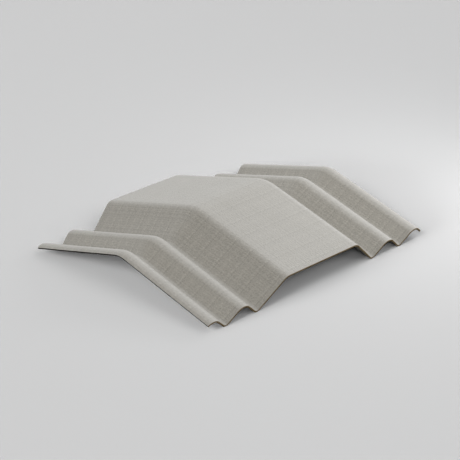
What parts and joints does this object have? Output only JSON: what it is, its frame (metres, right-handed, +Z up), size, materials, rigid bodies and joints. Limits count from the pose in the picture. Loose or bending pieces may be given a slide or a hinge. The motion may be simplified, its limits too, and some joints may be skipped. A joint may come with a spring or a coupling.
{
  "type": "roof ridge cap",
  "caption": "Corrugated fibre-cement ridge cap with a broad flat crown, small side waves and two sloping wings, which covers the joint along a roof's ridge.",
  "frame": {"origin": "on the floor, under the ridge and halfway between the underlap and overlap edges", "axes": "+X along the ridge from the underlap edge to the overlap edge, Y down the two slopes, +Z up"},
  "size_m": [1.076, 0.8692, 0.2118],
  "materials": {
    "fibre_cement": "matte warm grey with a felt texture"
  },
  "bodies": {
    "root": {"ridge_cap": "fibre_cement"}
  },
  "joints": []
}
